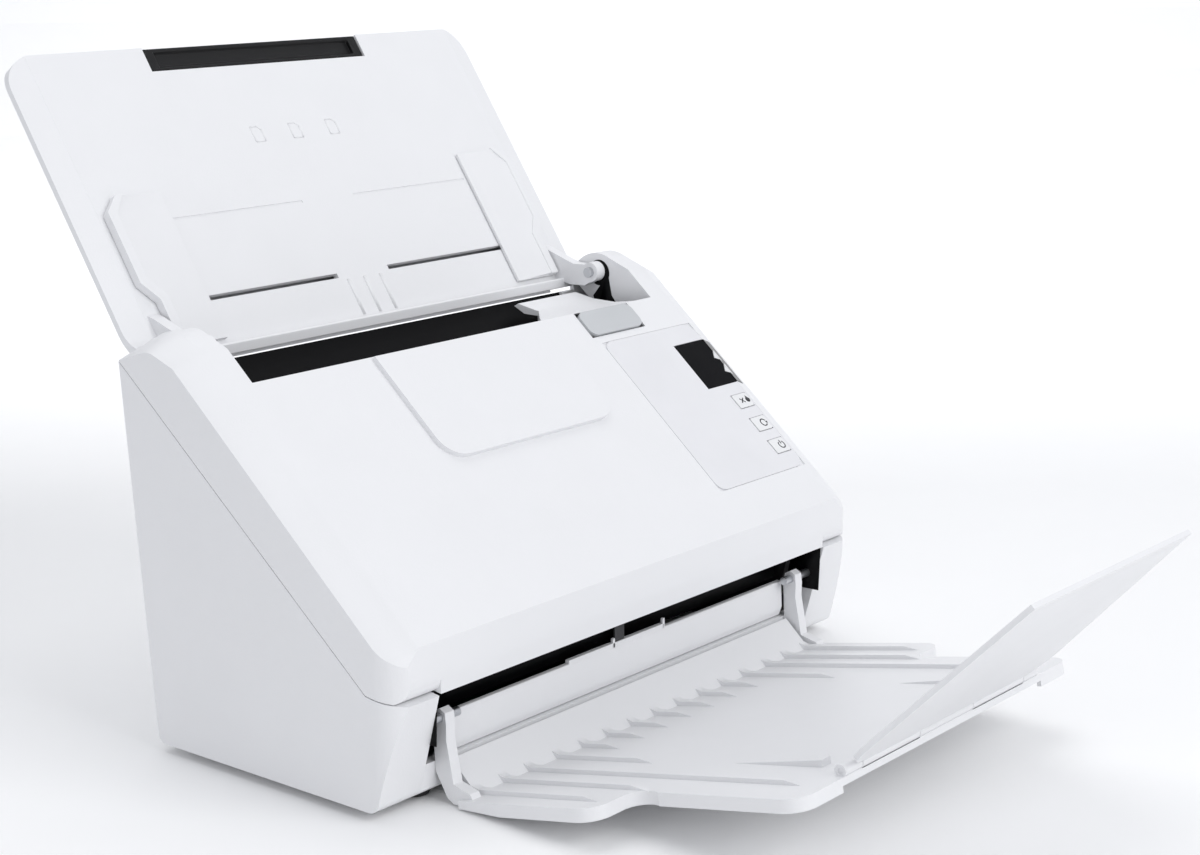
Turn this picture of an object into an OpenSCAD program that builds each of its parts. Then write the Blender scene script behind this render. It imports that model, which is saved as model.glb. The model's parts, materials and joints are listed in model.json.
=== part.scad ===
/* [Body] */
// Width of the body over the side walls
body_w = 316; // [312:1:320]
// Height of the rubber feet
foot_h = 4; // [3:0.5:5]
// Slope of the front face from the table
face_angle = 41.3; // [41:0.1:41.6]
// Thickness of the casing walls
wall = 3; // [2.6:0.1:3.2]

/* [Input tray] */
// Slope of the opened paper tray from the table
tray_angle = 56.45; // [56:0.05:57]
// Length of the paper tray along its slope
tray_len = 150; // [140:1:155]
// Half width of the flat part of the paper tray
tray_half = 133; // [131:0.5:135]
// How far the tray's paper surface lies behind its pivot
tray_set_back = 21.85; // [21.7:0.05:22]

/* [Output tray] */
// Slope of the opened output tray
out_angle = 11.3; // [10:0.1:12]
// Half width of the output tray near the body
out_half = 127; // [125:0.5:127.5]
// Length of the flap at the end of the output tray
flap_len = 105; // [95:1:106]

/* [Rollers] */
// Radius of every roller shaft
shaft_r = 3; // [3]
// Radial running clearance of shafts and pins
run_gap = 0.05; // [0.03:0.01:0.08]
// Radius of the feed and exit rollers
roller_r = 7.5; // [7.3:0.1:7.6]
// Radius of the pinch rollers
pinch_r = 6; // [5.8:0.1:6.1]
// Radius of the belt pulleys
pulley_r = 8; // [7.5:0.5:8]

/* [Hidden] */
$fn = 96;
half = body_w / 2;
seam_gap = 0.5;
skin = 0.3;

// how far the body stands behind the middle of the opened scanner
mid_shift = 68;

// side profile of the casing, as [y, z]
rear_top = [76, 170];
rear_low = [64, foot_h];
front_low = [-69, foot_h];
cheek_top = [-82, 50];
seam_front = [-65, 52.6];
nose_low = [-82.5, 50];
nose_top = [-81, 72.3];
face_top = [36.7, 175.8];
face_ref = [20, 161.1];

// pivots, as [y, z]
tray_pivot = [56, 173.6];
cover_pivot = [-76.5, 56.5];
out_pivot = [-72.5, 36];
latch_pivot = [50, 152];
pin_r = 2;
shoulder_c = [57, 164.3];
shoulder_r = 18.2;

// chamfer along both sides of the front face
side_chamfer = 14;
chamfer_drop = 6.7;

// inner faces of the shoulders that hold the tray
shoulder_in = 132;
guide_half = 122;
frame_in = 123.5;
frame_out = 127;

// inner end of the white ramp beside the inlet
bridge_x = 49;

// paper path, measured normal to the front face
path_n = -37;
path_gap = 0.5;
rear_unit_n = -62;
feed_s = 5;
exit_s = -128;
feed_n = path_n - roller_r;
pinch_n = path_n + 0.4 + pinch_r;
motor_s = -30;
motor_n = -80;

// input tray stations along its slope, from the pivot's foot
tray_low = 7.8;
tray_top = tray_low + tray_len;
tray_edge = 12.5;
tray_deep = 14;
eye_r = 5;
tray_pin_r = 2.6;
arm_in = 125;
arm_out = 131;
slot_s = 30.4;
slot_half = 1.2;
rail_s = 70.5;
guide_in = 96;
guide_out = 124;
guide_wide = 130.5;

// scan units, as stations along the face
scan_s = [-72, -48];
scan_half = 118;
glass_s = [-69.5, -50.5];
glass_half = 111.5;
window_s = [-70, -50];
window_half = 112;

// underside screws
screw_x = 138;
screw_y = 48;

// exit mouth
exit_half = 118;
mouth_half = 134;

// output tray
out_bend = [-84, 0.8];
out_t = 3;
out_wide_len = 72;
out_len = 150;
out_neck = 102.5;
out_skirt = 2.5;
flap_half = 73;
flap_tip = 62;
flap_angle = 46;

// ---- helpers ----

// from the body's own frame to one under the middle of the opened scanner
module centred() {
    translate([0, mid_shift, 0]) children();
}

// a side profile in [y, z] pulled to width w about the middle plane
module across(w) {
    rotate([90, 0, 90]) linear_extrude(w, center = true) children();
}

// a side profile in [y, z] from x0 to x1
module between(x0, x1) {
    translate([x0, 0, 0]) rotate([90, 0, 90]) linear_extrude(x1 - x0) children();
}

// the front face's frame: X across, Y up the slope, Z out of the face
module on_face() {
    translate([0, face_ref[0], face_ref[1]]) rotate([face_angle, 0, 0]) children();
}

// the opened tray's frame: Y up the tray from the pivot's foot, Z towards the paper
module on_tray() {
    translate([0, tray_pivot[0] + tray_set_back * sin(tray_angle),
        tray_pivot[1] - tray_set_back * cos(tray_angle)]) rotate([tray_angle, 0, 0]) children();
}

// the opened output tray's frame: Y out from the body, Z up
module on_output() {
    translate([0, out_bend[0], out_bend[1]]) rotate([-out_angle, 0, 0]) mirror([0, 1, 0]) children();
}

// a rod along X at [y, z] from x0 to x1
module rod(at, r, x0, x1) {
    translate([x0, at[0], at[1]]) rotate([0, 90, 0]) cylinder(r = r, h = x1 - x0);
}

// a box from its low corner to its high corner
module block(low, high) {
    translate(low) cube(high - low);
}

// a rectangle with round corners, from its low corner to its high corner
module soft_rect(low, high, r) {
    translate(low + [r, 0]) square(high - low - [2 * r, 0]);
    translate(low + [0, r]) square(high - low - [0, 2 * r]);
    for (x = [low[0] + r, high[0] - r], y = [low[1] + r, high[1] - r])
        translate([x, y]) circle(r);
}

// the same child on both sides of the middle plane
module both_sides() {
    children();
    mirror([1, 0, 0]) children();
}

// upright space inside the casing's plan outline, with rounder front corners
module plan_outline(inset) {
    linear_extrude(400) {
        soft_rect([-half + inset, -84 + inset], [half - inset, 20], 15 - inset);
        soft_rect([-half + inset, -20], [half - inset, 90 - inset], 5 - inset);
    }
}

// ---- base ----

// outer side profile of the casing below the seam, its lower corners rounded
module base_profile() {
    polygon(concat(
        [rear_top],
        [for (a = [-4:-14:-90]) rear_low + [-3.7, 4] + 4 * [cos(a), sin(a)]],
        [for (a = [270:-15:195]) front_low + [4.6, 6] + 6 * [cos(a), sin(a)]],
        [cheek_top, seam_front]));
}

// outer side profile above the seam, its face and shoulder sunk by drop
module cover_profile(drop) {
    polygon(concat(
        [rear_top + [0, seam_gap], seam_front + [0, seam_gap], cheek_top + [0, seam_gap],
            nose_low + [0, 10], nose_top + drop * [sin(face_angle), -cos(face_angle)],
            face_top + drop * [sin(face_angle), -cos(face_angle)]],
        [for (a = [118:-7:20]) shoulder_c + (shoulder_r - drop) * [cos(a), sin(a)]]));
}

module base_shell() centred() color("white") difference() {
    intersection() {
        across(body_w) base_profile();
        plan_outline(0);
    }
    // main hollow, open at the top and underneath
    across(2 * (half - wall)) polygon([[74.8, 190], [61, -1], [-62, -1],
        [-65.5, 30], [-62, 56]]);
    // exit mouth between the cheeks
    across(2 * mouth_half) polygon([[-90, -1], [-69, -1], [-69, 16.8], [-60, 16.8], [-60, 80], [-90, 80]]);
    // the rear wall is lower between the shoulders
    across(2 * guide_half + 1) polygon([[60, 155], [90, 155], [90, 180], [60, 180]]);
    across(2 * shoulder_in) polygon([[60, 162], [90, 162], [90, 180], [60, 180]]);
    // each cheek is hollow behind a boss for the output tray's pin
    both_sides() between(140, half - wall) polygon([[-50, 5], [-66, 5], [-76, 47], [-60, 60],
        [-50, 60]]);
    both_sides() rod(out_pivot, pin_r + run_gap, 130, 139);
    // sockets for mains and data leads in the rear wall
    block([58, 55, 22.5], [75, 75, 35.5]);
    block([84, 55, 23.5], [97, 75, 34.5]);
}

module bottom_plate() centred() color("whitesmoke") difference() {
    translate([0, 0, foot_h]) linear_extrude(2.4)
        soft_rect([-half + wall + skin, -61.6], [half - wall - skin, 60.4], 5);
    both_sides() for (y = [-screw_y, screw_y])
        translate([screw_x, y, 0]) cylinder(r = 1.6, h = 20);
}

module rubber_feet() centred() color("dimgray") both_sides() for (y = [-56, 38])
    translate([124, y, 0]) {
        cylinder(r1 = 6, r2 = 6.8, h = 1);
        translate([0, 0, 1]) cylinder(r = 6.8, h = foot_h - 1);
    }

module bottom_screws() centred() color("silver") both_sides() for (y = [-screw_y, screw_y])
    translate([screw_x, y, foot_h - 1.2]) {
        difference() {
            cylinder(r = 3, h = 1.2);
            translate([-2, -0.4, -1]) cube([4, 0.8, 1.5]);
            translate([-0.4, -2, -1]) cube([0.8, 4, 1.5]);
        }
        cylinder(r = 1.5, h = 9);
    }

// one side plate that carries the shafts and the cover's hinge
module side_frame() difference() {
    union() {
        on_face() between(frame_in, frame_out) polygon([[-140, -52], [-118, rear_unit_n],
            [4, rear_unit_n], [12, -50], [26, -40], [26, -31], [9, -31], [5, -34], [-140, -34]]);
        between(frame_in, frame_out) polygon([[-62, 7], [40, 7], [40, 80], [-20, 70], [-62, 40]]);
        between(frame_in, frame_out) polygon([cover_pivot + [2.4, -3.2], [-68, 45], [-62, 22],
            [-50, 40], [-60, 62], cover_pivot + [-1, 3.9]]);
        rod(cover_pivot, 4, frame_in, frame_out);
        // stud that the latch hook catches
        rod(latch_pivot + [4.4, -5.6], 1.4, frame_in + 1, 131);
    }
    rod(cover_pivot, pin_r, 100, 150);
    on_face() for (s = [feed_s, exit_s])
        translate([100, s, feed_n]) rotate([0, 90, 0]) cylinder(r = shaft_r + run_gap, h = 60);
}

module side_frame_left() centred() color("lightsteelblue") mirror([1, 0, 0]) side_frame();

module side_frame_right() centred() color("lightsteelblue") side_frame();

// places for the drive tyres along a shaft
tyre_x = [-60, -20, 20, 60];
tyre_w = 14;

module tyre_slots(s, low_n, high_n) for (x = tyre_x)
    translate([x - tyre_w / 2 - 1, s - 8.5, low_n]) cube([tyre_w + 2, 17, high_n - low_n]);

module lower_guide() centred() color("black") on_face() difference() {
    across(2 * guide_half) polygon([for (p = [[-138, -3], [33.3, -3], [35.2, -1.4], [37.4, -2.9],
        [41.8, 1.4], [41.7, 2.3], [34.6, 0], [-138, 0]]) p + [0, path_n - path_gap]]);
    tyre_slots(feed_s, path_n - 6, path_n + 2);
    tyre_slots(exit_s, path_n - 6, path_n + 2);
    block([-window_half, window_s[0], path_n - 6], [window_half, window_s[1], path_n + 2]);
}

// white front of the exit mouth, with a step along its foot
module exit_plate() centred() color("white") across(2 * exit_half) {
    polygon([[-68.5, 34.8], [-69, 22], [-67.4, 17.4], [-64.8, 17.2], [-65.8, 34.9]]);
}

module rear_scan_module() centred() color("dimgray") difference() {
    on_face() block([-scan_half, scan_s[0], rear_unit_n + 4],
        [scan_half, scan_s[1], path_n - path_gap - 3.1]);
    on_face() block([-scan_half + 4, scan_s[0] + 3, rear_unit_n + 8],
        [scan_half - 4, scan_s[1] - 3, path_n]);
}

module rear_scan_glass() centred() color("lightcyan", 0.5) on_face()
    block([-glass_half, glass_s[0], path_n - path_gap - 2.8],
        [glass_half, glass_s[1], path_n - path_gap - 0.2]);

module main_board() centred() color("darkgreen") difference() {
    block([-100, -52, 12], [50, 28, 13.6]);
    for (x = [-95, 45], y = [-47, 23])
        translate([x, y, 5]) cylinder(r = 1.6, h = 20);
}

module power_inlet() centred() color("black") difference() {
    block([58.3, 52, 22.8], [74.7, 66.6, 35.2]);
    translate([66.5, 75, 29]) rotate([90, 0, 0]) cylinder(r = 4.2, h = 12);
}

module usb_port() centred() color("silver") difference() {
    block([84.3, 52, 23.8], [96.7, 66.6, 34.2]);
    block([86, 58, 25.2], [95, 75, 32.8]);
    block([86, 58, 24.9], [95, 60, 32.9]);
}

// ---- drive ----

module drive_motor() centred() color("slategray") on_face() translate([95, motor_s, motor_n])
    rotate([0, 90, 0]) {
        cylinder(r = 15, h = 27.8);
        cylinder(r = 2, h = 52);
    }

// a belt pulley with two flanges, on an axis along X
module pulley(hole) difference() {
    union() {
        cylinder(r = pulley_r, h = 8.6);
        cylinder(r = pulley_r + 1.8, h = 0.6);
        translate([0, 0, 8]) cylinder(r = pulley_r + 1.8, h = 0.6);
    }
    translate([0, 0, -1]) cylinder(r = hole, h = 12);
}

module at_shaft(x, s, n) on_face() translate([x, s, n]) rotate([0, 90, 0]) children();

module motor_pulley() centred() color("gold") at_shaft(137, motor_s, motor_n) pulley(2 + run_gap);

module feed_shaft() centred() color("silver") at_shaft(-frame_out - 2, feed_s, feed_n)
    cylinder(r = shaft_r, h = 2 * frame_out + 24);

module exit_shaft() centred() color("silver") at_shaft(-frame_out - 2, exit_s, feed_n)
    cylinder(r = shaft_r, h = 2 * frame_out + 14);

// rubber tyres in a row along X, with grooves round each tyre
module tyres(r, hole) for (x = tyre_x)
    translate([x - tyre_w / 2, 0, 0]) rotate([0, 90, 0]) difference() {
        union() {
            cylinder(r = r - 0.4, h = tyre_w);
            for (i = [0:3])
                translate([0, 0, i * 3.6]) cylinder(r = r, h = 3.2);
        }
        translate([0, 0, -1]) cylinder(r = hole, h = tyre_w + 2);
    }

module feed_rollers() centred() color("darkslategray") on_face()
    translate([0, feed_s, feed_n]) tyres(roller_r, shaft_r);

module exit_rollers() centred() color("darkslategray") on_face()
    translate([0, exit_s, feed_n]) tyres(roller_r, shaft_r);

module feed_pulley() centred() color("gold") {
    at_shaft(127.6, feed_s, feed_n) pulley(shaft_r);
    at_shaft(137, feed_s, feed_n) pulley(shaft_r);
}

module exit_pulley() centred() color("gold") at_shaft(127.6, exit_s, feed_n) pulley(shaft_r);

// a flat belt round two equal pulleys, from station a to station b as [s, n]
module belt(x, a, b) {
    span = norm(b - a);
    turn = atan2(b[1] - a[1], b[0] - a[0]);
    inner = pulley_r + 0.15;
    on_face() translate([x, a[0], a[1]]) rotate([turn, 0, 0]) rotate([90, 0, 90])
        linear_extrude(6) difference() {
            union() {
                circle(inner + 1.2);
                translate([span, 0]) circle(inner + 1.2);
                translate([0, -inner - 1.2]) square([span, 2 * inner + 2.4]);
            }
            circle(inner);
            translate([span, 0]) circle(inner);
            translate([0, -inner]) square([span, 2 * inner]);
        }
}

module drive_belt() centred() color("black") belt(128.9, [exit_s, feed_n], [feed_s, feed_n]);

module motor_belt() centred() color("black") belt(138.3, [feed_s, feed_n], [motor_s, motor_n]);

// ---- front cover ----

display_s = [-57, -28.5];
display_x = [120.5, 144];
button_x = [131, 142.5];
button_s = [-68.5, -83.5, -98];
button_half = 4.4;
panel_x = [75.5, 143.8];
panel_s = [-112, -17];
lever_x = [73, 112];
lever_s = [-12.5, 2.2];
lever_back = 4.2;
lever_pivot_s = 0;

module cover_slice(x, drop) between(x, x + 0.01) cover_profile(drop);

module cover_outer() intersection() {
    union() {
        across(2 * (half - side_chamfer)) cover_profile(0);
        both_sides() hull() {
            cover_slice(half - side_chamfer - 0.01, 0);
            cover_slice(half - 0.01, chamfer_drop);
        }
        // raised pad in the middle of the face
        on_face() linear_extrude(2.5) difference() {
            soft_rect([-64, -58], [48.5, 14], 12);
            translate([-70, 1.4]) square([140, 20]);
        }
    }
    plan_outline(0);
}

module front_cover() centred() color("white") difference() {
    cover_outer();
    // hollow behind the face
    across(2 * 129) polygon([[-79.5, 45], [-79.5, 60], [-76.4, 71], [23, 158.4], [23, 100],
        [-50, 45]]);
    // valley between the shoulders
    across(2 * shoulder_in) polygon([[22.2, 158], [22.2, 240], [120, 240], [120, 150], [60, 120],
        [20, 100], [10, 110], [10, 151.6]]);
    // hollow shoulders and sides
    both_sides() between(shoulder_in + 3, half - wall - 1.5) polygon([[-66, 45], [-72, 60],
        [-66, 71], [30, 155], [36, 159], [44, 159], [46, 154], [68, 154], [74, 160], [90, 160],
        [60, 45]]);
    both_sides() rod(tray_pivot, tray_pin_r + run_gap, 120, 148);
    both_sides() rod(cover_pivot, pin_r + run_gap, 120, 134.5);
    // room for the hinge ears
    both_sides() rod(cover_pivot, 4.5, 122, 129);
    // rounded heel over the cheeks
    both_sides() between(133, 170) difference() {
        translate([-90, 49]) square([13.5, 7.5]);
        translate(cover_pivot) circle(5.4);
    }
    on_face() {
        block([panel_x[0], panel_s[0], -0.8], [panel_x[1], panel_s[1], 5]);
        block([display_x[0], display_s[0], -2.4], [display_x[1] + 0.2, display_s[1], 5]);
        for (s = button_s)
            block([button_x[0], s - button_half, -30], [button_x[1], s + button_half, 5]);
        block([lever_x[0] - 0.6, lever_s[0] - 0.6, -2], [lever_x[1] + 0.6, lever_back, 5]);
        block([lever_x[0] + 5, lever_s[0] + 3, -6], [lever_x[1] - 5, lever_back, 5]);
    }
}

module cover_hinge_pins() centred() color("silver") both_sides()
    rod(cover_pivot, pin_r, 121, 134);

module upper_guide() centred() color("black") difference() {
    union() {
        on_face() block([-guide_half, -128, path_n + path_gap], [guide_half, 22, path_n + 3.5]);
        // floor of the inlet, with a step across it
        across(2 * guide_half) polygon([[22.6, 162.1], [22.6, 157.5], [58, 146], [60.6, 148.1]]);
        between(-guide_half, bridge_x - 2) polygon([[30, 159.9], [31.2, 160.9], [33, 160.3],
            [33, 157.9]]);
    }
    on_face() {
        for (x = tyre_x)
            translate([x - tyre_w / 2 - 1, feed_s - 7, path_n - 1]) cube([tyre_w + 2, 14, 8]);
        block([-window_half, window_s[0], path_n - 1], [window_half, window_s[1], path_n + 8]);
        // room for the lever and its shaft
        block([lever_x[0] - 0.6, lever_s[0] - 1, -3], [lever_x[1] + 0.6, lever_back, 5]);
        block([lever_x[0] + 4.5, lever_s[0] - 1, -6], [lever_x[1] - 4.5, lever_back, 5]);
    }
}

module front_scan_module() centred() color("dimgray") difference() {
    on_face() block([-scan_half, scan_s[0], path_n + 3.6], [scan_half, scan_s[1], -8]);
    on_face() block([-scan_half + 4, scan_s[0] + 3, path_n],
        [scan_half - 4, scan_s[1] - 3, -12]);
}

module front_scan_glass() centred() color("lightcyan", 0.5) on_face()
    block([-glass_half, glass_s[0], path_n + path_gap + 0.2],
        [glass_half, glass_s[1], path_n + 3.3]);

module pinch_shaft() centred() color("silver") at_shaft(-78, feed_s, pinch_n) cylinder(r = 2, h = 156);

module pinch_rollers() centred() color("gainsboro") on_face()
    for (x = tyre_x) translate([x - tyre_w / 2, feed_s, pinch_n]) rotate([0, 90, 0]) difference() {
        cylinder(r = pinch_r, h = tyre_w);
        translate([0, 0, -1]) cylinder(r = 2, h = tyre_w + 2);
    }

// plan of the white ramp beside the inlet, whose inner edge runs back and outwards
module ramp_plan(width) linear_extrude(400) polygon([[bridge_x, 22.3], [bridge_x + 49, 68.3],
    [bridge_x + 49 + width, 68.3], [bridge_x + width, 22.3]]);

module inlet_bridge() centred() color("white") difference() {
    union() {
        intersection() {
            between(bridge_x, 123) polygon([[22.3, 162.6], [22.3, 162.4], [35, 157.8], [60, 158.4],
                [66.5, 161.6], [64, 163], [52, 160.8], [38, 160.4]]);
            union() {
                ramp_plan(200);
                translate([bridge_x + 30, 22.3, 0]) cube([80, 50, 400]);
            }
        }
        // wall under its inner edge
        intersection() {
            between(bridge_x, 123) polygon([[22.3, 162.6], [22.3, 162.4], [61, 148.3],
                [66.5, 161.6], [64, 163], [52, 160.8], [38, 160.4]]);
            ramp_plan(2.4);
        }
    }
    on_face() block([0, -40, path_n - 20], [200, 22.4, path_n + 3.8]);
    on_face() block([lever_x[0] - 0.6, lever_s[0] - 0.6, -6], [lever_x[1] + 0.6, lever_back, 5]);
}

// brackets on the upper guide that hold the pinch shaft
module pinch_brackets() centred() color("dimgray") difference() {
    on_face() for (x = [-76, -40, 36, 72])
        block([x, feed_s - 5, path_n + 3.6], [x + 4, feed_s + 5, pinch_n + 5]);
    at_shaft(-90, feed_s, pinch_n) cylinder(r = 2 + run_gap, h = 180);
}

module control_panel() centred() color("white") on_face() difference() {
    translate([0, 0, -0.75]) linear_extrude(0.8)
        soft_rect([panel_x[0] + 0.2, panel_s[0] + 0.2], [panel_x[1] - 0.2, panel_s[1] - 0.2], 6);
    block([display_x[0] - 0.2, display_s[0] - 0.2, -3], [display_x[1] + 1, display_s[1] + 0.2, 3]);
    for (s = button_s)
        block([button_x[0] - 0.1, s - button_half - 0.1, -3],
            [button_x[1] + 0.1, s + button_half + 0.1, 3]);
}

module display_window() centred() color("black") on_face()
    block([display_x[0] + 0.1, display_s[0] + 0.1, -2.3],
        [display_x[1] - 0.3, display_s[1] - 0.1, 0.1]);

module panel_board() centred() color("darkgreen") on_face()
    block([86, -108, -7.6], [127, -22, -6]);

// a push button with a stem and a foot behind the face
module button(s) color("white") on_face() {
    translate([0, 0, -3]) linear_extrude(3.3)
        soft_rect([button_x[0] + 0.3, s - button_half + 0.3],
            [button_x[1] - 0.3, s + button_half - 0.3], 1);
    block([136.2, s - 2, -8], [140.5, s + 2, -3]);
}

module cancel_button() centred() button(button_s[0]);

module scan_button() centred() button(button_s[1]);

module power_button() centred() button(button_s[2]);

module release_lever() centred() color("lightgray") on_face() {
    translate([0, 0, -1.2]) linear_extrude(2.2)
        soft_rect([lever_x[0], lever_s[0]], [lever_x[1], lever_s[1]], 4.5);
    translate([lever_x[0] + 6, lever_pivot_s, -2.6]) rotate([0, 90, 0])
        cylinder(r = 2, h = lever_x[1] - lever_x[0] - 12);
}

// hooks that hold the cover shut, each behind the stud of its side frame
module latch_hooks() centred() color("silver") both_sides() {
    between(129, 131) polygon([latch_pivot + [-2.6, 0], latch_pivot + [2.6, 0],
        latch_pivot + [1, -7.4], latch_pivot + [4, -7.6], latch_pivot + [4, -9.4],
        latch_pivot + [-2, -9.4]]);
    rod(latch_pivot, 2.8, 128.4, 131.4);
}

// ---- input tray ----

// the tray's outline seen square on
module tray_outline() soft_rect([-145, tray_low], [145, tray_top], 15);

// one hinge arm with its eye round the pivot
module tray_arm() difference() {
    union() {
        between(arm_in, arm_out) polygon([[9, -2.5], [30, -2.5], [24, 3], [9, 14.5],
            [4.4, tray_set_back], [-4.4, tray_set_back], [-4, 15], [1, 7], [8, 0]]);
        rod([0, tray_set_back], eye_r, arm_in, arm_out);
    }
    rod([0, tray_set_back], tray_pin_r, 100, 150);
}

module tray_plate() centred() color("white") on_tray() difference() {
    union() {
        translate([0, 0, -3]) linear_extrude(3) intersection() {
            tray_outline();
            translate([-tray_half, 0]) square([2 * tray_half, 200]);
        }
        // lip that leads the sheet into the inlet
        across(240) polygon([[2.4, -3.2], [tray_low + 1, -0.6], [tray_low + 1, -3],
            [tray_low - 0.3, -3], [4, -4.6]]);
        both_sides() tray_arm();
    }
    for (side = [0, 1])
        mirror([side, 0, 0]) {
            block([-118.5, slot_s - slot_half, -5], [-16.5, slot_s + slot_half, 1]);
            block([-94.5, rail_s - 0.6, -0.5], [-16.5, rail_s + 0.6, 1]);
        }
    block([-68, tray_top - tray_edge, -5], [68, tray_top + 1, 1]);
}

module tray_back() centred() color("white") on_tray() difference() {
    translate([0, 0, -tray_deep]) linear_extrude(tray_deep) tray_outline();
    // seat for the front plate
    block([-tray_half, 0, -3], [tray_half, 200, 1]);
    // bevelled front and back edges
    both_sides() rotate([-90, 0, 0]) linear_extrude(200) {
        polygon([[tray_half, 0], [146, 3.2], [146, -1], [tray_half, -1]]);
        polygon([[146, 5.5], [126, tray_deep + 0.1], [146, tray_deep + 1]]);
    }
    across(300) polygon([[tray_top - 14, -tray_deep - 0.1], [tray_top + 1, -6],
        [tray_top + 1, -tray_deep - 1]]);
    // hollow for the guides' racks and the extension
    block([-125, 12, -tray_deep + 2], [125, tray_top - 15, 1]);
    block([-68, 100, -tray_deep + 2.6], [68, tray_top + 1, 1]);
    translate([0, slot_s, -20]) cylinder(r = 3, h = 12);
    both_sides() block([arm_in - 0.2, 0, -3.1], [arm_out + 0.2, 36, 1]);
}

module tray_hinge_pins() centred() color("silver") on_tray() both_sides()
    rod([0, tray_set_back], tray_pin_r, arm_in - 2, 146);

module tray_extension() centred() color("whitesmoke") on_tray() difference() {
    block([-62, 62, -9.6], [62, tray_top - 6, -7.6]);
    for (x = [-30, 30])
        translate([x, 80, -20]) cylinder(r = 6, h = 20);
}

module extension_grip() centred() color("black") on_tray() difference() {
    block([-67.4, tray_top - tray_edge + 0.4, -7.5], [67.4, tray_top - 0.3, -0.6]);
    across(124) polygon([[tray_top - 11, 0], [tray_top - 9, -2.6], [tray_top - 3, -2.6],
        [tray_top - 1.6, 0]]);
}

// the left side guide with its slider and smooth rack
module guide(rack_low) {
    // plate that widens past the tray's hinge arm, and a rim along its outer edge
    translate([0, 0, 0.3]) linear_extrude(1.7) polygon([[-guide_in, 10], [-guide_out, 10],
        [-guide_out, 32], [-guide_wide, 41], [-guide_wide, 76], [-guide_wide + 8, 84],
        [-guide_in, 84]]);
    translate([0, 0, 0.3]) linear_extrude(4.2) polygon([[-guide_out + 5, 10], [-guide_out, 10],
        [-guide_out, 32], [-guide_wide, 41], [-guide_wide, 76], [-guide_wide + 8, 84],
        [-guide_wide + 12, 84], [-guide_wide + 5, 75], [-guide_wide + 5, 42.5],
        [-guide_out + 5, 33.5]]);
    block([-117, slot_s - 0.9, -8], [-111, slot_s + 0.9, 0.6]);
    block([-117, min(slot_s - 0.9, rack_low), -8], [-111, max(slot_s + 0.9, rack_low + 4), -4]);
    block([-117, rack_low, -8], [25, rack_low + 4, -4]);
}

module left_guide() centred() color("white") on_tray() guide(slot_s + 10.6);

module right_guide() centred() color("white") on_tray() mirror([1, 0, 0]) guide(slot_s - 14.6);

module guide_pinion() centred() color("gainsboro") on_tray() translate([0, slot_s, -8]) {
    cylinder(r = 10.3, h = 4);
    translate([0, 0, -5.9]) cylinder(r = 2.95, h = 6);
}

// ---- output tray ----

out_hinge = [out_len, 5];
short_rib_x = [-49.5, -33, -16.5, 0, 16.5, 33, 49.5];
tray_knuckles = [[-72.5, -61], [-20, 20], [61, 72.5]];
flap_knuckles = [[-60.7, -20.3], [20.3, 60.7]];

// outline of the tray seen from above, drawn in by inset
module output_outline(inset) difference() {
    union() {
        soft_rect([-out_half + inset, -14], [out_half - inset, out_wide_len - inset], 10);
        soft_rect([-out_neck + inset, 0], [out_neck - inset, out_len + 2 - inset], 10);
        both_sides() translate([out_neck - inset - 4, out_wide_len - 4 - inset]) square([10, 12]);
    }
    translate([-200, -20]) square([400, 20]);
    both_sides() translate([out_neck + 6.5 - inset, out_wide_len + 8 - inset]) circle(8);
}

// a rib from the foot of the back wall along the tray to where it ends, at x as its middle
module tray_rib(x, to) between(x - 1.9, x + 1.9)
    polygon([[-2, 7], [3, 4.9], [to - 8, 4.9], [to + 1, 2.8], [to + 1, 2.2], [0.4, 1.8], [-2, 4]]);

// a wedge rib that grows towards the flap
module wedge_rib(x, from, to, high)
    between(x - 3, x + 3) polygon([[from, out_t - 0.5], [to, out_t + high], [to, out_t - 0.5]]);

module output_tray() centred() color("white") difference() {
    union() {
        on_output() {
            translate([0, 0, -out_skirt]) linear_extrude(out_skirt + out_t) output_outline(0);
            for (x = short_rib_x)
                tray_rib(x, 23);
            both_sides() {
                tray_rib(66, 54);
                tray_rib(84, 141);
                tray_rib(99.4, 78);
                tray_rib(115.4, 67);
                wedge_rib(60, 84, 135, 2.8);
            }
            for (k = tray_knuckles)
                rod(out_hinge, 2.6, k[0], k[1]);
        }
        // rising back of the tray
        across(2 * 117.5) polygon([[-85, 0.6], [-85, 4.2], [-71.6, 16.4], [-70.4, 15], [-80, 0.6]]);
        // arms up to the pivots
        both_sides() between(119.3, 124.6) polygon([[-90, 4.2], [-86, 1], [-79, 0.6],
            [-75.5, 2.5], [-69.3, 13], [-69.2, 17], [-68.6, 33], [-69.6, 38.4], [-72.5, 40],
            [-75.4, 38.4], [-76, 34], [-75.8, 27], [-79.2, 9], [-88, 7]]);
    }
    on_output() {
        // the skirt round the edge is all that reaches under the plate, clear of the table
        translate([0, 0, -out_skirt - 1]) linear_extrude(out_skirt + 1) output_outline(2);
        across(400) polygon([[-30, 0], [-2, 0], [22, -out_skirt], [22, -9], [-30, -9]]);
        block([-flap_half - 2, out_len - 6, -9], [flap_half + 2, out_len + 9, 0]);
        for (k = flap_knuckles)
            rod(out_hinge, 3, k[0] - 0.3, k[1] + 0.3);
        rod(out_hinge, 1.2, -100, 100);
    }
    both_sides() rod(out_pivot, pin_r, 100, 130);
}

module output_hinge_pins() centred() color("silver") both_sides()
    rod(out_pivot, pin_r, 114, 138.5);

// the flap's frame: Y along the flap from its hinge
module on_flap() on_output() translate([0, out_hinge[0], out_hinge[1]])
    rotate([flap_angle - out_angle, 0, 0]) children();

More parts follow.
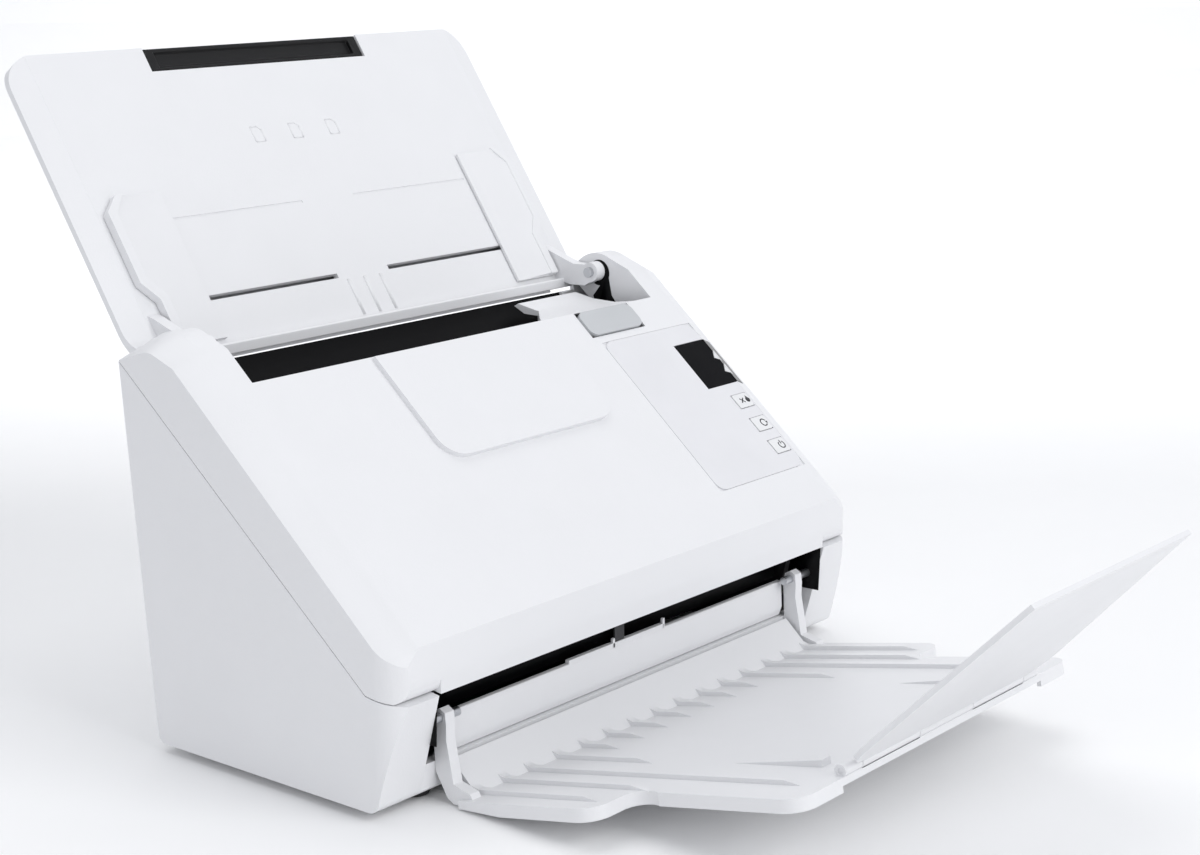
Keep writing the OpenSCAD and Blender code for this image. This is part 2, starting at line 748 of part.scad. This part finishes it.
module output_flap() centred() color("white") difference() {
    union() {
        on_flap() translate([0, 0, -1.1]) linear_extrude(2.2) difference() {
            soft_rect([-flap_half, 3.2], [flap_half, flap_len], 12);
            both_sides() polygon([[flap_half + 1, 10], [flap_tip, flap_len + 1],
                [flap_half + 30, flap_len + 1]]);
        }
        on_flap() for (k = flap_knuckles) {
            rod([0, 0], 2.6, k[0], k[1]);
            block([k[0], 0, -1.1], [k[1], 4, 1.1]);
        }
    }
    on_flap() rod([0, 0], 1.2 + run_gap, -100, 100);
}

module flap_hinge_pin() centred() color("silver") on_output() rod(out_hinge, 1.2, -72, 72);

base_shell();
bottom_plate();
rubber_feet();
bottom_screws();
side_frame_left();
side_frame_right();
lower_guide();
exit_plate();
rear_scan_module();
rear_scan_glass();
main_board();
power_inlet();
usb_port();
drive_motor();
motor_pulley();
feed_shaft();
feed_rollers();
feed_pulley();
exit_shaft();
exit_rollers();
exit_pulley();
drive_belt();
motor_belt();
front_cover();
cover_hinge_pins();
upper_guide();
front_scan_module();
front_scan_glass();
pinch_brackets();
pinch_shaft();
pinch_rollers();
inlet_bridge();
control_panel();
display_window();
panel_board();
cancel_button();
scan_button();
power_button();
release_lever();
latch_hooks();
tray_plate();
tray_back();
tray_hinge_pins();
tray_extension();
extension_grip();
left_guide();
right_guide();
guide_pinion();
output_tray();
output_hinge_pins();
output_flap();
flap_hinge_pin();
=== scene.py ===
"""Looks of the sheet-fed document scanner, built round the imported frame. Metres, +Z up."""
import json
import math

import bmesh
import bpy
from mathutils import Matrix, Vector


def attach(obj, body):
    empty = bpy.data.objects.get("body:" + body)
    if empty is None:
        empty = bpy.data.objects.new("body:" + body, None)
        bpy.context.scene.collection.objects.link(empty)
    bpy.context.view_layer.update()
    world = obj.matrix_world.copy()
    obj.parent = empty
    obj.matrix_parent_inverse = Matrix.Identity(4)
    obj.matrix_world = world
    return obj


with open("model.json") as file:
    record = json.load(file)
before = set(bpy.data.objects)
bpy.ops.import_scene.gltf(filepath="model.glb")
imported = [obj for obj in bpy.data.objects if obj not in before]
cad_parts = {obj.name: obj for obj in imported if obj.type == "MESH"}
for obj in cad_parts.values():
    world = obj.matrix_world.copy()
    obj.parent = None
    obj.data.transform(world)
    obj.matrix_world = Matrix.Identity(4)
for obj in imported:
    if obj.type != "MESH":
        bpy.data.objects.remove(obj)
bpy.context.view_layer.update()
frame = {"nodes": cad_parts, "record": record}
NODES = frame["nodes"]
SCENE = bpy.context.scene
MM = 0.001

# Planes of the object in rest: the front face, its side chamfer, and the opened paper tray.
FACE_ANGLE = math.radians(41.3)
FACE_POINT = Vector((0, 88, 161.1)) * MM
TRAY_ANGLE = math.radians(56.45)
TRAY_PIVOT = Vector((0, 124, 173.6)) * MM
TRAY_SET_BACK = 21.85 * MM
TRAY_FOOT = TRAY_PIVOT + Vector((0, math.sin(TRAY_ANGLE), -math.cos(TRAY_ANGLE))) * TRAY_SET_BACK

CHAMFER_X = 144
CHAMFER_SLOPE = 0.4786

WORLD = Matrix.Identity(4)
FACE = Matrix.Translation(FACE_POINT) @ Matrix.Rotation(FACE_ANGLE, 4, "X")
TRAY = Matrix.Translation(TRAY_FOOT) @ Matrix.Rotation(TRAY_ANGLE, 4, "X")
CHAMFER = FACE @ Matrix.Translation(Vector((CHAMFER_X, 0, 0)) * MM) @ Matrix.Rotation(
    math.atan(CHAMFER_SLOPE), 4, "Y")


# ---- camera, light and floor ----

CAMERA_ANGLES = (-50.012, 12.733, -0.807)
CAMERA_TARGET = Vector((33.004, 41.478, 120.586)) * MM
CAMERA_DISTANCE = 1.022306
CAMERA_LENS = 66.82


def make_camera():
    """A long lens at the left front, a little above the object."""
    azimuth, elevation, roll = (math.radians(a) for a in CAMERA_ANGLES)
    back = Vector((math.sin(azimuth) * math.cos(elevation),
                   -math.cos(azimuth) * math.cos(elevation), math.sin(elevation)))
    across = Vector((0, 0, 1)).cross(back).normalized()
    up = back.cross(across)
    right = math.cos(roll) * across + math.sin(roll) * up
    top = math.cos(roll) * up - math.sin(roll) * across
    data = bpy.data.cameras.new("camera")
    data.lens, data.sensor_width = CAMERA_LENS, 36
    data.clip_start, data.clip_end = 0.05, 50
    camera = bpy.data.objects.new("camera", data)
    SCENE.collection.objects.link(camera)
    camera.matrix_world = Matrix.Translation(CAMERA_TARGET + back * CAMERA_DISTANCE) @ Matrix((
        (right.x, top.x, back.x, 0), (right.y, top.y, back.y, 0),
        (right.z, top.z, back.z, 0), (0, 0, 0, 1)))
    SCENE.camera = camera
    SCENE.view_settings.view_transform = "Standard"


def make_light(name, place, target, size, power):
    """One square soft box, aimed at target."""
    data = bpy.data.lights.new(name, "AREA")
    data.shape, data.size, data.energy = "SQUARE", size, power
    light = bpy.data.objects.new(name, data)
    SCENE.collection.objects.link(light)
    light.location = place
    light.rotation_mode = "QUATERNION"
    light.rotation_quaternion = (Vector(target) - Vector(place)).to_track_quat("-Z", "Y")


# name, place, target, size and power
LIGHTS = (
    ("key", (0.2, -1.95, 1.42), (0, 0, 0.12), 1.5, 20),
    ("fill", (-1.9, -0.7, 0.9), (0, 0, 0.12), 1.6, 3.5),
    ("top", (0.2, 0.5, 2.1), (0, 0, 0.1), 1.6, 10),
    ("back", (0.9, 0.75, 1.5), (2.4, 2.0, 0.5), 1.6, 20),
)

FLOOR_FRONT, FLOOR_BACK, FLOOR_BEND, FLOOR_TOP = -6.0, 2.0, 1.5, 5.0
FLOOR_HALF = 7
FLOOR_TURN = math.radians(-50)
SKY_COLOR, SKY_STRENGTH = (0.93, 0.95, 1, 1), 0.60


def make_stage():
    """A plain pale floor that turns up behind the object, under an even pale sky."""
    profile = [(FLOOR_FRONT, 0.0), (FLOOR_BACK, 0.0)]
    profile += [(FLOOR_BACK + FLOOR_BEND * math.sin(a), FLOOR_BEND - FLOOR_BEND * math.cos(a))
                for a in (math.pi / 2 * i / 12 for i in range(1, 13))]
    profile += [(FLOOR_BACK + FLOOR_BEND, FLOOR_TOP)]
    mesh = bmesh.new()
    rows = [[mesh.verts.new((x, y, z)) for x in (-FLOOR_HALF, FLOOR_HALF)] for y, z in profile]
    for low, high in zip(rows, rows[1:]):
        mesh.faces.new((low[0], low[1], high[1], high[0]))
    floor = new_piece("floor", mesh)
    floor.rotation_euler.z = FLOOR_TURN
    floor.data.materials.append(
        make_material("floor_paint", (0.98, 0.98, 0.98), 0.7, depth=0, mottle=0.003))
    world = bpy.data.worlds.new("sky")
    world.use_nodes = True
    sky = world.node_tree.nodes["Background"].inputs
    sky["Color"].default_value, sky["Strength"].default_value = SKY_COLOR, SKY_STRENGTH
    SCENE.world = world


# ---- materials ----

COLOR_PATCH, GLOSS_PATCH = 0.035, 0.012
BUMP_HEIGHT = 0.0004


def make_material(name, color, roughness, **settings):
    """A plastic, metal or rubber with fine procedural colour change, grain and uneven gloss.

    grain and depth are the bump's size in metres and its strength, mottle is the share by
    which the colour changes, and spread is how far the roughness does. Any other setting
    goes straight to the shader's own socket.
    """
    grain, depth = settings.pop("grain", 0.0009), settings.pop("depth", 0.06)
    mottle, spread = settings.pop("mottle", 0.02), settings.pop("spread", 0.05)
    material = bpy.data.materials.new(name)
    material.use_nodes = True
    tree = material.node_tree
    shader = tree.nodes["Principled BSDF"]
    place = tree.nodes.new("ShaderNodeTexCoord").outputs["Object"]

    def noise(size, detail):
        node = tree.nodes.new("ShaderNodeTexNoise")
        node.inputs["Scale"].default_value = 1 / size
        node.inputs["Detail"].default_value = detail
        tree.links.new(place, node.inputs["Vector"])
        return node.outputs["Fac"]

    def ramp(source, low, high, socket):
        node = tree.nodes.new("ShaderNodeValToRGB")
        node.color_ramp.elements[0].position, node.color_ramp.elements[1].position = 0.3, 0.7
        node.color_ramp.elements[0].color = (*low, 1)
        node.color_ramp.elements[1].color = (*high, 1)
        tree.links.new(source, node.inputs["Fac"])
        tree.links.new(node.outputs["Color"], socket)

    dark = [c * (1 - mottle) for c in color]
    light = [min(1, c * (1 + mottle)) for c in color]
    ramp(noise(COLOR_PATCH, 3), dark, light, shader.inputs["Base Color"])
    rough = [max(0.02, roughness - spread)] * 3, [min(1, roughness + spread)] * 3
    ramp(noise(GLOSS_PATCH, 4), *rough, shader.inputs["Roughness"])
    bump = tree.nodes.new("ShaderNodeBump")
    bump.inputs["Strength"].default_value = depth
    bump.inputs["Distance"].default_value = BUMP_HEIGHT
    tree.links.new(noise(grain, 2), bump.inputs["Height"])
    tree.links.new(bump.outputs["Normal"], shader.inputs["Normal"])
    for socket, value in settings.items():
        shader.inputs[socket.replace("_", " ")].default_value = value
    return material


WHITE = (0.83, 0.832, 0.845)


def new_piece(name, mesh):
    """An object from a bmesh."""
    data = bpy.data.meshes.new(name)
    mesh.to_mesh(data)
    mesh.free()
    piece = bpy.data.objects.new(name, data)
    SCENE.collection.objects.link(piece)
    return piece


MATERIALS = {
    "casing": make_material("casing_plastic", WHITE, 0.42, depth=0.10, mottle=0.007,
                            spread=0.03),
    "black_guide": make_material("black_plastic", (0.003, 0.003, 0.0035), 0.4, depth=0.05,
                                 Specular_IOR_Level=0.1),
    "lever_grey": make_material("grey_plastic", (0.56, 0.575, 0.59), 0.38, depth=0.08),
    "panel_film": make_material("panel_film", (0.79, 0.79, 0.81), 0.33, depth=0.03),
    "display": make_material("display_gloss", (0.003, 0.003, 0.004), 0.16, depth=0.0,
                             spread=0.02, Specular_IOR_Level=0.08),
    "button": make_material("button_plastic", (0.82, 0.825, 0.83), 0.38, depth=0.05),
    "grip": make_material("grip_plastic", (0.005, 0.005, 0.0055), 0.42, depth=0.12,
                          Specular_IOR_Level=0.35),
    "feet": make_material("foot_rubber", (0.03, 0.03, 0.03), 0.8, depth=0.2),
    "steel": make_material("zinc_steel", (0.6, 0.61, 0.63), 0.3, Metallic=1.0, depth=0.03),
    "frame_metal": make_material("frame_zinc", (0.5, 0.52, 0.54), 0.42, Metallic=1.0),
    "frame_black": make_material("frame_black", (0.012, 0.012, 0.013), 0.5),
    "inner_grey": make_material("inner_plastic", (0.035, 0.035, 0.038), 0.5),
    "glass": make_material("scan_glass", (0.5, 0.58, 0.6), 0.04, depth=0, Coat_Weight=0.6),
    "board": make_material("board_resist", (0.012, 0.05, 0.03), 0.4, mottle=0.1),
    "socket": make_material("socket_plastic", (0.02, 0.02, 0.02), 0.45),
    "roller_rubber": make_material("roller_rubber", (0.06, 0.065, 0.07), 0.75, depth=0.2),
    "pulley": make_material("pulley_brass", (0.72, 0.52, 0.22), 0.3, Metallic=1.0),
    "belt": make_material("belt_rubber", (0.02, 0.02, 0.02), 0.7, depth=0.15),
    "idler": make_material("idler_plastic", (0.6, 0.61, 0.63), 0.45),
    "ink": make_material("mark_ink", (0.03, 0.03, 0.035), 0.5, depth=0.02),
}
SLOT_OF = {row["node"]: row["material_slot"] for row in frame["record"]["subparts"]}


WELD_DISTANCE = 0.00002
SHARP_EDGE = math.radians(32)


def soften(piece, width):
    """Small rounded edges with even shading."""
    weld = piece.modifiers.new("weld", "WELD")
    weld.merge_threshold = WELD_DISTANCE
    bevel = piece.modifiers.new("bevel", "BEVEL")
    bevel.width, bevel.segments = width, 3
    bevel.limit_method, bevel.angle_limit = "ANGLE", SHARP_EDGE
    bevel.harden_normals = False
    piece.modifiers.new("normals", "WEIGHTED_NORMAL").keep_sharp = True


# millimetres; every other node has PLAIN_EDGE
PLAIN_EDGE = 0.25
EDGE_RADIUS = {"base_shell": 1.2, "front_cover": 1.2, "tray_back": 1.0, "tray_plate": 1.2,
               "output_tray": 0.8, "output_flap": 0.7, "release_lever": 0.5,
               "extension_grip": 0.6, "inlet_bridge": 0.8, "exit_plate": 0.5}


def dress_frame():
    """Gives every CAD node its material and softened edges."""
    for name, node in NODES.items():
        node.data.materials.clear()
        node.data.materials.append(MATERIALS[SLOT_OF[name]])
        for face in node.data.polygons:
            face.use_smooth = True
        soften(node, EDGE_RADIUS.get(name, PLAIN_EDGE) * MM)


# ---- pieces ----

def finished(name, mesh, material, body):
    """The object from a closed bmesh, with its material and body."""
    bmesh.ops.recalc_face_normals(mesh, faces=mesh.faces[:])
    piece = new_piece(name, mesh)
    piece.data.materials.append(MATERIALS[material])
    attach(piece, body)
    return piece


def prism(name, outline, low, high, space, material, body, slot_name, edge=0.0):
    """A closed solid: a 2D outline in millimetres pulled from low to high.

    space turns (first, second, along) in millimetres into a place in metres.
    """
    mesh = bmesh.new()
    ends = [[mesh.verts.new(space(a, b, along)) for a, b in outline] for along in (low, high)]
    mesh.faces.new(ends[0])
    mesh.faces.new(list(reversed(ends[1])))
    count = len(outline)
    for i in range(count):
        j = (i + 1) % count
        mesh.faces.new((ends[0][j], ends[0][i], ends[1][i], ends[1][j]))
    piece = finished(name, mesh, material, body)
    for face in piece.data.polygons:
        face.use_smooth = True
    if edge:
        soften(piece, edge * MM)


def on(matrix, order):
    """A space for prism(): order names which local axis each of its three numbers runs along."""
    def place(*numbers):
        local = dict(zip(order, numbers))
        return matrix @ (Vector((local["x"], local["y"], local["z"])) * MM)
    return place


def arc(centre, radius, start, end, steps=16):
    """Points on an arc, with its angles in degrees."""
    angles = (math.radians(start + (end - start) * i / steps) for i in range(steps + 1))
    return [(centre[0] + radius * math.cos(a), centre[1] + radius * math.sin(a)) for a in angles]


def band(points, width):
    """A thin outline that follows a line of points, for marks."""
    left, right = [], []
    for i, point in enumerate(points):
        before, after = points[max(i - 1, 0)], points[min(i + 1, len(points) - 1)]
        step = Vector((after[0] - before[0], after[1] - before[1])).normalized()
        side = Vector((-step.y, step.x)) * width / 2
        left.append((point[0] + side.x, point[1] + side.y))
        right.append((point[0] - side.x, point[1] - side.y))
    return left + right[::-1]


LOFT_EDGE = 0.12


def loft(name, rows, space, material, body):
    """A closed solid through rows of points, each row a closed section with as many points."""
    mesh = bmesh.new()
    rings = [[mesh.verts.new(space(*point)) for point in row] for row in rows]
    for near, far in zip(rings, rings[1:]):
        for i, vertex in enumerate(near):
            j = (i + 1) % len(near)
            mesh.faces.new((vertex, near[j], far[j], far[i]))
    mesh.faces.new(rings[0])
    mesh.faces.new(list(reversed(rings[-1])))
    piece = finished(name, mesh, material, body)
    for face in piece.data.polygons:
        face.use_smooth = len(face.vertices) == 4
    soften(piece, LOFT_EDGE * MM)


# a guide's inner edge across the tray, its ramp's rise, curve, top and underside, and its rim
# as places (along the tray, across it)
GUIDE_IN = 97.0
GUIDE_RISE, GUIDE_CURVE, GUIDE_STEPS = 2.3, 2.2, 14
GUIDE_TOP, GUIDE_UNDER = 1.9, 1.5
GUIDE_RIM = ((10.4, 119.2), (32, 119.2), (41.5, 125.7), (76, 125.7), (81, 123.5), (83.6, 119))


def make_guide_ramps():
    """The side guides' hollow curve from the sheet up to their outer rims."""
    for side, name, body in ((-1, "guide_ramp_left", "guide_l"),
                             (1, "guide_ramp_right", "guide_r")):
        rows = []
        for station, rim in GUIDE_RIM:
            shares = [i / GUIDE_STEPS for i in range(GUIDE_STEPS + 1)]
            row = [(side * (GUIDE_IN + (rim - GUIDE_IN) * share), station,
                    GUIDE_TOP + GUIDE_RISE * share ** GUIDE_CURVE) for share in shares]
            rows.append(row + [(side * rim, station, GUIDE_UNDER),
                               (side * GUIDE_IN, station, GUIDE_UNDER)])
        loft(name, rows, on(TRAY, "xyz"), "casing", body)


RIB_PLACES, RIB_RADIUS, RIB_ENDS = (-11.5, -1, 9.5), 0.8, (9, 28)


def make_tray_ribs():
    """Three low ribs at the foot of the tray's middle."""
    for i, x in enumerate(RIB_PLACES):
        section = [(x + a, b) for a, b in arc((0, -0.1), RIB_RADIUS, 0, 180, 8)]
        prism(f"tray_rib_{i}", section, *RIB_ENDS, on(TRAY, "xzy"), "casing",
              "input_tray", "casing")


TRAY_MARK_PLACES, TRAY_MARK_STATION = (-24, 0, 24), 108
TRAY_MARK_LINE = 0.6


def make_tray_marks():
    """Small raised marks of a sheet, plain and generic, near the middle of the tray."""
    sheet = [(-3, -4), (3, -4), (3, 2), (1, 4), (-3, 4), (-3, -4)]
    for i, x in enumerate(TRAY_MARK_PLACES):
        line = [(x + a, TRAY_MARK_STATION + b) for a, b in sheet]
        for j, ends in enumerate(zip(line, line[1:])):
            prism(f"tray_mark_{i}_{j}", band(ends, TRAY_MARK_LINE), -0.1, 0.12,
                  on(TRAY, "xyz"), "casing", "input_tray", "casing")


KEY_MIDDLE_X = 138.6
KEY_STATIONS = {"cancel": -68.5, "scan": -83.5, "power": -98.0}
KEY_TOP = 0.3
KEY_MARK_SCALE = 1.35
KEY_LINE = 0.45


def make_key_marks():
    """Generic marks on the three keys: a cross, a ring with an arrow head, and a gapped ring."""
    def mark(name, outline, key):
        middle = KEY_STATIONS[key]
        moved = [(KEY_MIDDLE_X + KEY_MARK_SCALE * a, middle + KEY_MARK_SCALE * b)
                 for a, b in outline]
        prism(name, moved, KEY_TOP - 0.02, KEY_TOP + 0.06, on(FACE, "xyz"), "ink",
              key + "_key", "black_guide")

    mark("mark_cross_a", band([(-2.6, -1), (-0.6, 1)], KEY_LINE), "cancel")
    mark("mark_cross_b", band([(-2.6, 1), (-0.6, -1)], KEY_LINE), "cancel")
    mark("mark_drop", arc((1.4, -0.2), 1.1, 120, 420, 14) + [(1.4, 1.8)], "cancel")
    mark("mark_scan", band(arc((0, 0), 1.5, 20, 320), KEY_LINE), "scan")
    mark("mark_head", [(1.0, 0.2), (2.2, 0.2), (1.6, -0.9)], "scan")
    mark("mark_power_ring", band(arc((0, 0), 1.5, 125, 415), KEY_LINE), "power")
    mark("mark_power_bar", band([(0, 0.4), (0, 2.0)], KEY_LINE), "power")


DISPLAY_ENDS = (-56.9, -28.6)
ARROW_STATIONS = {"upper": -39.5, "lower": -48.5}


def make_display_edge():
    """The display's black border over the cover's side chamfer, with two light arrow keys."""
    low, high = DISPLAY_ENDS
    edge = [(-0.4, low), (9.5, low), (9.5, high), (-0.4, high)]
    prism("display_edge", edge, -0.3, 0.2, on(CHAMFER, "xyz"), "display", "cover",
          "display", 0.15)
    tip = CHAMFER_X - 2.8
    for name, middle in ARROW_STATIONS.items():
        flat = [(CHAMFER_X + 0.1, middle + 3), (CHAMFER_X + 0.1, middle - 3), (tip, middle - 1.2)]
        prism("arrow_" + name, flat, 0.05, 0.32, on(FACE, "xyz"), "button", "cover", "display")
        slant = [(0.1, middle + 3), (2.6, middle + 3.6), (2.6, middle - 3.4), (0.1, middle - 3)]
        prism("arrow_edge_" + name, slant, 0.1, 0.3, on(CHAMFER, "xyz"), "button",
              "cover", "display")


VALLEY_HALF = 131.5
SHOULDER_SKIN = (131.75, 132.05)


def make_valley_wall():
    """The low wall behind the valley between the shoulders."""
    wall = [(141, 164.2), (143.4, 164.2), (143.8, 169), (141.4, 169)]
    prism("valley_wall", wall, -VALLEY_HALF, VALLEY_HALF, on(WORLD, "yzx"), "casing", "base",
          "casing", 0.6)


def make_pivot_recess_shade():
    """A dark keyhole sheet round the tray's hinge eye in each shoulder's inner wall: painted
    shade of the slot there.
    """
    y, z = TRAY_PIVOT.y / MM, TRAY_PIVOT.z / MM
    outline = arc((y - 0.5, z - 1), 6.6, -95, 200, 30) + [(y - 8.5, z - 12), (y - 12.5, z - 17),
                                                        (y + 1.5, z - 21), (y + 3.5, z - 13)]
    inner, outer = SHOULDER_SKIN
    # Thin black sheets standing in for the shade inside the hinge slots.
    for side, name in ((-1, "pivot_recess_shade_left"), (1, "pivot_recess_shade_right")):
        prism(name, outline, side * inner, side * outer, on(WORLD, "yzx"),
              "black_guide", "cover", "black_guide")


EXIT_FRONT = -0.6
EXIT_TOP = 34.8
CHEEK_SKIN = (133.55, 134.05)


def make_exit_details():
    """The exit plate's raised middle and tabs, and black sheets painted in for shade: one behind
    the plate for the exit mouth's dark inside (partly its black guides too), and one on each
    cheek's inner wall under the cover.
    """
    world = on(WORLD, "xyz")
    for name, low, high, top, back, material in (
            ("exit_rise", -40, 26, 36.5, 2.4, "casing"),
            ("exit_tick_left", -10.2, -8.8, 38.6, 1.4, "casing"),
            ("exit_tick_right", 25.2, 26.6, 39.0, 1.4, "casing"),
            ("exit_tab", -8.2, -1.6, 49.2, 1.0, "inner_grey")):
        front = EXIT_FRONT + (0.6 if name == "exit_tab" else 0)
        outline = [(low, front), (high, front), (high, front + back), (low, front + back)]
        prism(name, outline, EXIT_TOP - 0.6, top, world, material, "base",
              "casing" if material == "casing" else "black_guide", 0.2)
    # exit_shade is painted shade: a black sheet for the shadowed inside of the exit mouth, with a
    # little of its real black guides.
    inside = [(-118, 4), (118, 4), (118, 5.2), (-118, 5.2)]
    prism("exit_shade", inside, 35.4, 51, world, "black_guide", "base", "black_guide")
    # Black sheets on the cheeks' inner walls under the cover: painted shade at the sides of the
    # exit mouth.
    cheek_shade_outline = [(-12.3, 49.4), (7, 49.4), (7, 28), (-11.2, 28)]
    inner, outer = CHEEK_SKIN
    for side, name in ((-1, "cheek_shade_left"), (1, "cheek_shade_right")):
        prism(name, cheek_shade_outline, side * inner, side * outer, on(WORLD, "yzx"),
              "black_guide", "base", "black_guide")


make_camera()
make_stage()
for light_row in LIGHTS:
    make_light(*light_row)
dress_frame()
make_guide_ramps()
make_tray_ribs()
make_tray_marks()
make_key_marks()
make_display_edge()
make_valley_wall()
make_pivot_recess_shade()
make_exit_details()
